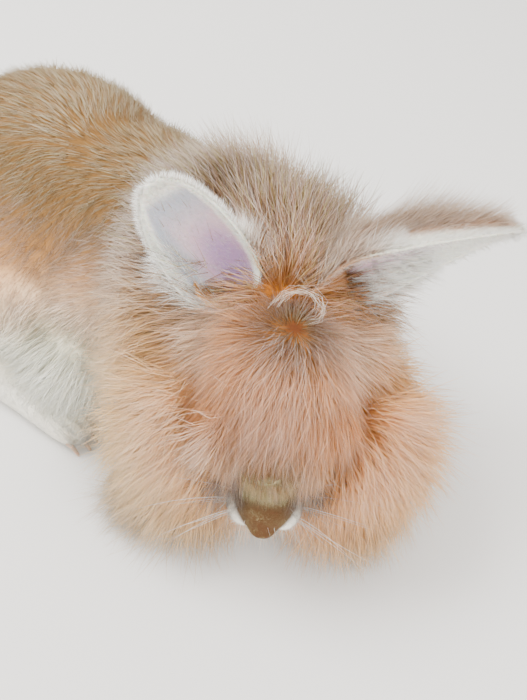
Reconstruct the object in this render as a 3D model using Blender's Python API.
"""A lionhead dwarf rabbit at rest, life size, in metres with +Z up.

The rabbit crouches with its head turned to face -Y and its body running back towards -X. Its
skin and short coat are fused whole from rounded lobes. The long wool is built as flat, tapered
locks that grow from that form along the lie of the coat, away from the whorl on the crown. The
whole is then parted with thin cuts into the parts that a person would name.
"""

import math
import random

import bmesh
import bpy
from mathutils import Matrix, Vector
from mathutils.geometry import intersect_point_line

# Driving sizes. Every place and length below is in centimetres, and CM turns it into metres.
CM = 0.01
GAP = 0.0003
BODY_VOXEL = 0.0026
HEAD_VOXEL = 0.0015
BODY_TRIANGLES = 1500
HEAD_TRIANGLES = 1200
SEED = 11

# The head: where its middle is, how far it nods, and its eyes in its own frame
HEAD_AT = (0.0, 3.9, 7.1)
HEAD_NOD = math.radians(20)
EYE_AT = (2.02, 0.9, 0.75)
EYE_RADIUS = 0.8
# The trunk: a point on its long axis, and its heading
TRUNK_AT = (-8.0, 12.9, 0.0)
TRUNK_HEADING = math.radians(-24)
# The ears: root, tip and the way each cup opens, with its width and depth, the degrees by which
# it has twisted at the tip, and the length of the hair on its back with its lift in degrees
EAR_THICKNESS = 0.24
EARS = {
    "ear_right": {"root": (-1.9, 6.5, 9.2), "tip": (-5.35, 7.95, 13.6), "opens": (-0.30, -0.72, 0.62),
                  "width": 3.4, "depth": 1.3, "twist": 0, "hair": (1.7, 10)},
    "ear_left": {"root": (1.2, 6.8, 9.3), "tip": (8.1, 8.7, 12.8), "opens": (0.29, -0.94, 0.01),
                 "width": 3.3, "depth": 3.1, "twist": 40, "hair": (2.3, 32)},
}
# The forelegs, from elbow to toes, with the radius of each joint
FORE_LEGS = {
    "right": [(-3.6, 9.6, 3.6, 1.5), (-3.0, 7.0, 1.5, 1.05), (-2.5, 4.6, 0.62, 0.95)],
    "left": [(0.9, 10.9, 3.6, 1.5), (1.5, 8.2, 1.5, 1.05), (1.6, 5.6, 0.62, 0.95)],
}
# The wool: the whorl it grows away from, how deep its roots are sunk, how near the floor it hangs,
# and how far from an ear's axis it starts
WHORL = Vector((0.3, 5.4, 10.9))
ROOT_DEPTH = 0.55
LOCK_THICKNESS = 0.28
LOCK_CLEARANCE = 0.5
FLOOR_CLEARANCE = 0.15
CUP_CLEARANCE = 1.9
# The Boolean solver for a surface with crossing locks, on which EXACT loses pieces
WOOL_SOLVER = "MANIFOLD"
SIDES = {"right": 1, "left": -1}

COLOURS = {
    "fawn": (0.62, 0.40, 0.24, 1.0),
    "cream": (0.80, 0.68, 0.52, 1.0),
    "ear": (0.72, 0.56, 0.52, 1.0),
    "eye": (0.03, 0.015, 0.01, 1.0),
}


def clear_scene():
    """Removes every object, so that the part starts from nothing."""
    for obj in list(bpy.data.objects):
        bpy.data.objects.remove(obj, do_unlink=True)


def place(origin, forward):
    """A frame at origin whose axes are the animal's right, its forward and its up."""
    ahead = Vector(forward).normalized()
    right = ahead.cross(Vector((0, 0, 1))).normalized()
    frame = Matrix((right, ahead, right.cross(ahead))).transposed().to_4x4()
    frame.translation = Vector(origin)
    return frame


HEAD = place(HEAD_AT, (0, -math.cos(HEAD_NOD), -math.sin(HEAD_NOD)))
TRUNK = place(TRUNK_AT, (math.cos(TRUNK_HEADING), math.sin(TRUNK_HEADING), 0))
WORLD = Matrix.Identity(4)
METRES = Matrix.Scale(CM, 4)
EYES = {name: HEAD @ Vector((side * EYE_AT[0], EYE_AT[1], EYE_AT[2])) for name, side in SIDES.items()}


def object_from(name, bm):
    """An object with the bmesh as its mesh."""
    mesh = bpy.data.meshes.new(name)
    bm.to_mesh(mesh)
    bm.free()
    obj = bpy.data.objects.new(name, mesh)
    bpy.context.scene.collection.objects.link(obj)
    return obj


def remove(objects):
    for obj in objects:
        bpy.data.objects.remove(obj, do_unlink=True)


def egg(frame, centre, radii, subdivisions=2):
    """A lobe: a ball stretched along the frame's axes."""
    bm = bmesh.new()
    bmesh.ops.create_icosphere(bm, subdivisions=subdivisions, radius=1.0)
    bm.transform(METRES @ frame @ Matrix.Translation(centre) @ Matrix.Diagonal((*radii, 1.0)))
    return object_from("egg", bm)


def limb(frame, joints, subdivisions=2):
    """A limb as a chain of rounded links through (x, y, z, radius) joints."""
    links = []
    for start, end in zip(joints, joints[1:]):
        bm = bmesh.new()
        for x, y, z, radius in (start, end):
            ball = bmesh.ops.create_icosphere(bm, subdivisions=subdivisions, radius=radius)
            bmesh.ops.translate(bm, verts=ball["verts"], vec=(x, y, z))
        bmesh.ops.delete(bm, geom=bm.edges, context="EDGES_FACES")
        hull = bmesh.ops.convex_hull(bm, input=bm.verts)
        inside = [part for part in hull["geom_interior"] if isinstance(part, bmesh.types.BMVert)]
        bmesh.ops.delete(bm, geom=inside, context="VERTS")
        bm.transform(METRES @ frame)
        links.append(object_from("link", bm))
    return links


def half_space(point, normal):
    """A big block that fills the side of a plane that its normal points to."""
    reach = 60.0
    bm = bmesh.new()
    bmesh.ops.create_cube(bm, size=reach)
    bmesh.ops.translate(bm, verts=bm.verts, vec=(0, 0, reach / 2))
    turn = Vector((0, 0, 1)).rotation_difference(Vector(normal).normalized()).to_matrix().to_4x4()
    bm.transform(METRES @ Matrix.Translation(point) @ turn)
    return object_from("half_space", bm)


def apply_modifiers(obj):
    """Makes the object's evaluated mesh its own, with no modifier left."""
    graph = bpy.context.evaluated_depsgraph_get()
    mesh = bpy.data.meshes.new_from_object(obj.evaluated_get(graph))
    obj.modifiers.clear()
    obj.data = mesh


def add_modifier(obj, kind, **settings):
    modifier = obj.modifiers.new(kind.title(), kind)
    for name, value in settings.items():
        setattr(modifier, name, value)


def boolean(obj, operation, others, solver="EXACT"):
    """Joins closed objects to obj, or cuts them from it, in one step, and removes them."""
    tools = bpy.data.collections.new("tools")
    for other in others:
        tools.objects.link(other)
    add_modifier(obj, "BOOLEAN", operation=operation, operand_type="COLLECTION", collection=tools,
                 solver=solver)
    apply_modifiers(obj)
    remove(others)
    bpy.data.collections.remove(tools)


def copy_of(obj, grow=0.0):
    """A copy of the object, with its surface moved out by grow, in metres."""
    bm = bmesh.new()
    bm.from_mesh(obj.data)
    bm.normal_update()
    for vert in bm.verts:
        vert.co += vert.normal * grow
    return object_from("copy", bm)


def keep_largest(obj):
    """Keeps only the largest closed surface of the object."""
    bm = bmesh.new()
    bm.from_mesh(obj.data)
    bmesh.ops.triangulate(bm, faces=bm.faces)
    unseen, shells = set(bm.faces), []
    while unseen:
        shell, front = set(), [unseen.pop()]
        while front:
            face = front.pop()
            shell.add(face)
            for edge in face.edges:
                for other in edge.link_faces:
                    if other in unseen:
                        unseen.discard(other)
                        front.append(other)
        shells.append(shell)
    largest = max(shells, key=lambda shell: sum(face.calc_area() for face in shell))
    bmesh.ops.delete(bm, geom=[face for face in bm.faces if face not in largest], context="FACES")
    bm.to_mesh(obj.data)
    bm.free()


def fuse(name, lobes, voxel, smoothing, triangles):
    """One smooth closed form from overlapping lobes. Voxel and smoothing are in metres."""
    bm = bmesh.new()
    for lobe in lobes:
        bm.from_mesh(lobe.data)
    remove(lobes)
    form = object_from(name, bm)
    add_modifier(form, "REMESH", mode="VOXEL", voxel_size=voxel)
    add_modifier(form, "SMOOTH", factor=0.5, iterations=round(2 * (smoothing / voxel) ** 2))
    apply_modifiers(form)
    add_modifier(form, "DECIMATE", ratio=triangles / (2 * len(form.data.polygons)))
    apply_modifiers(form)
    keep_largest(form)
    return form


def part_off(rest, name, cutter):
    """Parts the share of rest inside the cutter off as its own object, with a thin gap."""
    piece = copy_of(rest)
    piece.name = name
    boolean(piece, "INTERSECT", [copy_of(cutter)], WOOL_SOLVER)
    boolean(rest, "DIFFERENCE", [copy_of(cutter, GAP)], WOOL_SOLVER)
    remove([cutter])
    keep_largest(piece)
    return piece


def trunk_lobes():
    """Loins, rump, ribs, shoulders and neck, with the short coat on them."""
    return [
        egg(TRUNK, (0, -3.2, 6.8), (6.0, 6.4, 6.3)),
        egg(TRUNK, (0, -6.2, 6.0), (5.4, 4.6, 5.6)),
        egg(TRUNK, (0, 0.6, 6.5), (5.5, 6.0, 5.7)),
        egg(TRUNK, (0, 4.2, 6.2), (5.0, 5.6, 5.4)),
        egg(TRUNK, (0.6, 6.6, 6.0), (4.4, 3.8, 5.1)),
        egg(WORLD, (-1.0, 8.9, 6.8), (4.3, 3.5, 4.8)),
    ]


def hind_leg_lobes(side):
    """A folded hind leg: thigh, knee and the long foot flat on the floor."""
    foot = [(side * 6.2, -5.2, 1.05, 1.2), (side * 6.6, -1.0, 0.85, 1.05), (side * 6.8, 1.9, 0.8, 1.15)]
    return [
        egg(TRUNK, (side * 4.4, -3.6, 4.6), (2.6, 4.8, 4.4)),
        egg(TRUNK, (side * 5.0, 0.6, 3.0), (1.9, 2.4, 2.4)),
        *limb(TRUNK, foot),
    ]


def head_lobes():
    """Skull, cheeks, brow, lids, muzzle, nose, lips and chin, with the wool's core round them."""
    lobes = [
        egg(HEAD, (0, -1.0, 0.6), (2.4, 2.9, 2.4)),
        egg(HEAD, (0, 1.2, 0.45), (1.4, 2.5, 1.45)),
        egg(HEAD, (0, 2.7, -1.0), (1.35, 2.1, 1.35)),
        egg(HEAD, (0, 4.3, -1.2), (0.72, 0.75, 0.52)),
        egg(HEAD, (0, 3.2, -2.6), (0.85, 1.15, 0.55)),
        egg(WORLD, (0, 6.3, 5.9), (4.6, 2.5, 3.7)),
        egg(WORLD, (-0.2, 5.2, 3.2), (4.8, 2.4, 2.3)),
    ]
    for side in SIDES.values():
        lobes.append(egg(HEAD, (side * 1.1, -0.4, -0.7), (1.6, 2.6, 1.9)))
        lobes.append(egg(HEAD, (side * 0.76, 3.8, -1.7), (0.82, 0.98, 0.72)))
        lobes.append(egg(HEAD, (side * (EYE_AT[0] - 0.12), EYE_AT[1], EYE_AT[2]), (1.0, 1.05, 0.98)))
        lobes.append(egg(WORLD, (side * 3.1, 4.5, 4.2), (2.5, 2.3, 2.9)))
        lobes.append(egg(WORLD, (side * 3.2, 3.9, 2.6), (2.2, 2.1, 2.0)))
        lobes.append(egg(WORLD, (side * 2.2, 6.7, 7.5), (1.5, 1.4, 1.4)))
    return lobes


def tail_lobes():
    return [egg(TRUNK, (0, -9.9, 4.6), (1.5, 1.7, 2.3))]


def face_cutters():
    """The openings between the lids, the nostrils, the philtrum and the line of the mouth."""
    mouth = [(-1.4, 2.8, -2.36, 0.09), (-0.66, 4.1, -2.34, 0.08), (0, 4.5, -2.15, 0.08),
             (0.66, 4.1, -2.34, 0.08), (1.4, 2.8, -2.36, 0.09)]
    philtrum = [(0, 5.18, -1.45, 0.05), (0, 4.75, -2.15, 0.05)]
    cutters = [*limb(HEAD, mouth, 1), *limb(HEAD, philtrum, 1)]
    for side in SIDES.values():
        x, y, z = EYE_AT
        cutters.append(egg(HEAD, (side * (x + 0.72), y, z), (0.8, 0.74, 0.58)))
        cutters.append(egg(HEAD, (side * 0.34, 4.95, -1.22), (0.22, 0.24, 0.07), 1))
    return cutters


def wool(point):
    """Length, width, lift off the skin, droop and spacing of the locks that grow at a point.

    Returns None where the coat is short: on the face, the feet and the back.
    """
    right, forward, up = HEAD.inverted() @ point
    trunk_side, trunk_forward, height = TRUNK.inverted() @ point
    if forward > 2.4 or (clear_of_bones(point, 0.4) - point).length > 0.01 or beside_ear(point):
        return None
    on_head = point.y < 8.0 and point.x > -5.5
    if on_head and abs(right) < 2.3 and up > 0.9 and forward > -2.0:
        return 3.4 - 0.7 * max(forward, 0.0), 1.2, math.radians(18), 0.3, 1.15
    if on_head and point.z < 3.6:
        if abs(point.x) < 2.4:
            return (1.6, 1.3, math.radians(20), 0.4, 1.5) if point.y > 3.0 else None
        fullness = 0.5 if point.x < 0 else 0.2
        return 2.5 + fullness * min(abs(point.x), 3.5), 1.5, math.radians(46), 0.0, 1.5
    if on_head and point.z > 9.0:
        return 3.4, 1.4, math.radians(22), 0.2, 1.5
    if on_head:
        return 4.6, 1.5, math.radians(34), 0.2, 1.6
    if point.x > -5.5 and point.z > 3.0 and trunk_forward > 5.0:
        return 4.0, 1.7, math.radians(24), 0.2, 1.85
    if trunk_forward < -9.3 and height > 2.4:
        return 2.4, 1.3, math.radians(32), 0.1, 1.4
    if abs(trunk_side) > 3.6 and 2.2 < height < 6.0 and -1.5 < trunk_forward < 7.0:
        return 4.2, 1.7, math.radians(16), 0.35, 1.8
    return None


def lie_at(point, normal):
    """The way the coat lies: away from the whorl, and back and down along the trunk."""
    trunk_side, trunk_forward, height = TRUNK.inverted() @ point
    away = (point - WHORL).normalized()
    if point.x < -5.5 or (trunk_forward < 3.0 and point.y > 8.0):
        away = TRUNK.to_3x3() @ Vector((0.25 * trunk_side, -0.8, -0.9 if abs(trunk_side) > 2 else -0.1))
    away -= normal * away.dot(normal)
    return away.normalized()


def lock(root, normal, lie, length, width, lift, droop, draw, depth=ROOT_DEPTH):
    """One lock of wool: flat, tapered, bent along its length, with its root under the surface.

    Its cross-section is flat with a low ridge, taken at a few steps from the root to the tip.
    """
    shares = (0.0, 0.3, 0.6, 0.84, 1.0)
    fullness = (0.75, 1.0, 0.85, 0.46, 0.0)
    length *= draw.uniform(0.82, 1.15)
    width *= draw.uniform(0.85, 1.15)
    sway = draw.uniform(-0.35, 0.35)
    roll = draw.uniform(-0.25, 0.25)
    lift *= draw.uniform(0.7, 1.3)
    lowest = FLOOR_CLEARANCE * draw.uniform(1.0, 2.0)
    side = lie.cross(normal)
    bm = bmesh.new()
    rings, spot = [], root
    for step, share in enumerate(shares):
        rise = lift * (1.5 - 1.3 * share)
        heading = lie * math.cos(rise) + normal * math.sin(rise) + side * (sway * (share - 0.3))
        heading += Vector((0, 0, -droop * share))
        heading.normalize()
        if step:
            spot = spot + heading * (length * (share - shares[step - 1]))
            spot = clear_of_bones(spot, LOCK_CLEARANCE)
            spot.z = max(spot.z, lowest + FLOOR_CLEARANCE)
        across = (side + normal * roll - heading * (side + normal * roll).dot(heading)).normalized()
        over = across.cross(heading).normalized()
        half = width / 2 * fullness[step]
        if share < 1.0:
            corners = (across * half, over * (LOCK_THICKNESS * half), -across * half)
            middle = spot if step else root - normal * depth
            rings.append([bm.verts.new(middle + corner) for corner in corners])
            for vert in rings[-1]:
                vert.co.z = max(vert.co.z, lowest)
    tip = bm.verts.new(spot)
    for ring, following in zip(rings, rings[1:]):
        for i in range(3):
            j = (i + 1) % 3
            bm.faces.new((ring[i], ring[j], following[j], following[i]))
    for i in range(3):
        bm.faces.new((rings[-1][i], rings[-1][(i + 1) % 3], tip))
    bm.faces.new(rings[0])
    bmesh.ops.triangulate(bm, faces=bm.faces)
    bmesh.ops.recalc_face_normals(bm, faces=bm.faces)
    bm.transform(METRES)
    return object_from("lock", bm)


def clear_of_bones(spot, clearance):
    """Moves a point of a lock out to a clear distance from the eyes and the forelegs."""
    for eye in EYES.values():
        away = spot - eye
        spot = eye + away.normalized() * max(away.length, EYE_RADIUS + clearance)
    for joints in FORE_LEGS.values():
        for start, end in zip(joints, joints[1:]):
            first, last = Vector(start[:3]), Vector(end[:3])
            near, share = intersect_point_line(spot, first, last)
            share = min(max(share, 0.0), 1.0)
            near = first.lerp(last, share)
            away = spot - near
            radius = start[3] + (end[3] - start[3]) * share
            spot = near + away.normalized() * max(away.length, radius + clearance)
    return spot


def beside_ear(point):
    """Whether a lock that grows at the point would rise into the cup of an ear."""
    for sizes in EARS.values():
        near, share = intersect_point_line(point, Vector(sizes["root"]), Vector(sizes["tip"]))
        if share > 0.0 and (point - near).length < CUP_CLEARANCE:
            return True
    return False


def surface_points(obj, count, draw):
    """Random places on the object's surface with their normals, in centimetres, evenly by area."""
    bm = bmesh.new()
    bm.from_mesh(obj.data)
    bmesh.ops.triangulate(bm, faces=bm.faces)
    bm.normal_update()
    faces = list(bm.faces)
    chosen = draw.choices(faces, weights=[face.calc_area() for face in faces], k=count)
    points = []
    for face in chosen:
        a, b = sorted((draw.random(), draw.random()))
        corners = [vert.co for vert in face.verts]
        normals = [vert.normal for vert in face.verts]
        spot = corners[0] * a + corners[1] * (b - a) + corners[2] * (1 - b)
        normal = normals[0] * a + normals[1] * (b - a) + normals[2] * (1 - b)
        points.append((spot / CM, normal.normalized()))
    bm.free()
    return points


def coat_locks(obj, draw):
    """Locks of wool spread evenly over the parts of the object where the coat is long."""
    locks, roots = [], []
    for point, normal in surface_points(obj, 9000, draw):
        growth = wool(point)
        if growth is None:
            continue
        *shape, spacing = growth
        if all((point - root).length > spacing for root in roots):
            roots.append(point)
            locks.append(lock(point, normal, lie_at(point, normal), *shape, draw))
    return locks


def ear_half(width, share):
    """Half the ear's width at a share of its length, widest low down and round at the tip."""
    widest = 0.3
    if share < widest:
        return width / 2 * (0.45 + 0.55 * math.sin(share / widest * math.pi / 2))
    return width / 2 * math.sqrt(max(0.02, 1 - ((share - widest) / (1 - widest)) ** 2.5))


def ear_axes(sizes, share):
    """The ear's root and tip, and its ways along, open and across at a share of its length."""
    root, tip = Vector(sizes["root"]), Vector(sizes["tip"])
    along = (tip - root).normalized()
    opening = Vector(sizes["opens"])
    opening = (opening - along * opening.dot(along)).normalized()
    twist = Matrix.Rotation(math.radians(sizes["twist"] * share), 3, along)
    return root, tip, along, twist @ opening, twist @ along.cross(opening)


def ear_sheet(name, sizes):
    """A cupped ear: a sheet bent about its length, deepest at the root, with a solid thickness."""
    rows, columns = 10, 8
    bm = bmesh.new()
    bmesh.ops.create_grid(bm, x_segments=columns, y_segments=rows, size=1.0)
    for vert in bm.verts:
        side, share = vert.co.x, (vert.co.y + 1) / 2
        root, tip, _, opening, across = ear_axes(sizes, share)
        turn = side * math.radians(78)
        half = ear_half(sizes["width"], share)
        cup = sizes["depth"] * half / (sizes["width"] / 2) * (1 - 0.6 * share)
        vert.co = root.lerp(tip, share) + across * (half * math.sin(turn)) - opening * (cup * math.cos(turn))
    bmesh.ops.triangulate(bm, faces=bm.faces)
    bmesh.ops.recalc_face_normals(bm, faces=bm.faces)
    bmesh.ops.solidify(bm, geom=bm.faces, thickness=EAR_THICKNESS)
    bmesh.ops.recalc_face_normals(bm, faces=bm.faces)
    bm.transform(METRES)
    return object_from(name, bm)


def ear_locks(sheet, sizes, draw):
    """Long hair on the ear: rows on its back, and a fringe on its lower margin near the root."""
    width = sizes["width"]
    lower = -1 if ear_axes(sizes, 0.0)[4].z > 0 else 1
    back, lift = sizes["hair"]
    rows = [(share, side, 0.0, back, lift) for share in (0.3, 0.52, 0.74) for side in (-0.55, 0.05, 0.6)]
    rows += [(share, 0.85 * lower, 0.9 * lower, 2.4, 10) for share in (0.2, 0.32, 0.46)]
    locks = []
    for share, side, fan, length, lift in rows:
        root, tip, along, opening, across = ear_axes(sizes, share)
        start = root.lerp(tip, share) + across * (side * ear_half(width, share)) - opening * width
        found, spot, normal, _ = sheet.ray_cast(start * CM, opening)
        if found:
            lie = along + across * fan
            lie = (lie - normal * lie.dot(normal)).normalized()
            locks.append(lock(spot / CM, normal, lie, length * (1.2 - 0.5 * share), 1.1,
                              math.radians(lift), 0.0, draw, EAR_THICKNESS * 0.6))
    return locks


def ears_with_cutters(draw):
    """Both ears with their hair, and the slightly larger copies that clear their seats."""
    ears, cutters = [], []
    for name, sizes in EARS.items():
        sheet = ear_sheet(name, sizes)
        locks = ear_locks(sheet, sizes, draw)
        cutters += [copy_of(piece, GAP) for piece in (sheet, *locks)]
        boolean(sheet, "UNION", locks, WOOL_SOLVER)
        keep_largest(sheet)
        ears.append(sheet)
    return ears, cutters


def eyeball(name):
    bm = bmesh.new()
    bmesh.ops.create_icosphere(bm, subdivisions=3, radius=EYE_RADIUS)
    bm.transform(METRES @ Matrix.Translation(EYES[name]))
    return object_from("eye_" + name, bm)


def part_legs_and_tail(rest):
    """Parts the legs and the tail off the whole."""
    nodes = []
    for name, side in SIDES.items():
        cutter = egg(TRUNK, (side * 6.9, -3.4, 4.4), (3.6, 5.6, 5.4))
        boolean(cutter, "UNION", limb(TRUNK, [(side * 7.0, -6.4, 0.6, 1.9), (side * 7.2, 3.4, 0.6, 1.9)]))
        nodes.append(part_off(rest, "hind_leg_" + name, cutter))
    for name in SIDES:
        sleeve = limb(WORLD, [(x, y, z, radius + 0.2) for x, y, z, radius in FORE_LEGS[name]])
        boolean(sleeve[0], "UNION", sleeve[1:])
        nodes.append(part_off(rest, "foreleg_" + name, sleeve[0]))
    nodes.append(part_off(rest, "tail", egg(TRUNK, (0, -13.4, 4.8), (4.5, 4.4, 5.2))))
    return nodes


def finish(obj, colour, roughness):
    """Gives the object its own material and smooth shading."""
    material = bpy.data.materials.new(obj.name)
    material.use_nodes = True
    shader = material.node_tree.nodes["Principled BSDF"]
    shader.inputs["Base Color"].default_value = COLOURS[colour]
    shader.inputs["Roughness"].default_value = roughness
    obj.data.materials.clear()
    obj.data.materials.append(material)
    obj.data.shade_smooth()


def stand_on_origin(objects):
    """Moves the part so that the origin is under the middle of its box, on the floor."""
    corners = [vert.co for obj in objects for vert in obj.data.vertices]
    low = Vector(min(co[i] for co in corners) for i in range(3))
    high = Vector(max(co[i] for co in corners) for i in range(3))
    shift = Matrix.Translation(-Vector(((low.x + high.x) / 2, (low.y + high.y) / 2, low.z)))
    for obj in objects:
        obj.data.transform(shift)


def build():
    clear_scene()
    draw = random.Random(SEED)
    body = trunk_lobes() + tail_lobes()
    for name, side in SIDES.items():
        body += hind_leg_lobes(side) + limb(WORLD, FORE_LEGS[name])
    rest = fuse("torso", body, BODY_VOXEL, 0.006, BODY_TRIANGLES)
    head_form = fuse("head_form", head_lobes(), HEAD_VOXEL, 0.0022, HEAD_TRIANGLES)
    boolean(rest, "UNION", [head_form])
    boolean(rest, "DIFFERENCE", [half_space((0, 0, 0), (0, 0, -1))])
    boolean(rest, "UNION", coat_locks(rest, draw), WOOL_SOLVER)

    nodes = part_legs_and_tail(rest)
    head = part_off(rest, "head", half_space((0, 7.2, 7.0), (0, -0.94, 0.33)))
    neck = part_off(rest, "neck", half_space((-0.9, 9.2, 7.0), (0.36, -0.85, 0.40)))
    ears, ear_seats = ears_with_cutters(draw)
    for obj in (head, neck, rest):
        boolean(obj, "DIFFERENCE", [copy_of(seat) for seat in ear_seats], WOOL_SOLVER)
    remove(ear_seats)
    eyes = [eyeball(name) for name in SIDES]
    boolean(head, "DIFFERENCE", face_cutters(), WOOL_SOLVER)
    boolean(head, "DIFFERENCE", [copy_of(eye, GAP) for eye in eyes], WOOL_SOLVER)
    flesh = [rest, neck, head, *nodes]
    for obj in flesh:
        keep_largest(obj)
        finish(obj, "cream" if obj in nodes else "fawn", 0.9)
    for obj in ears:
        finish(obj, "ear", 0.8)
    for obj in eyes:
        finish(obj, "eye", 0.1)
    stand_on_origin([*flesh, *ears, *eyes])


build()
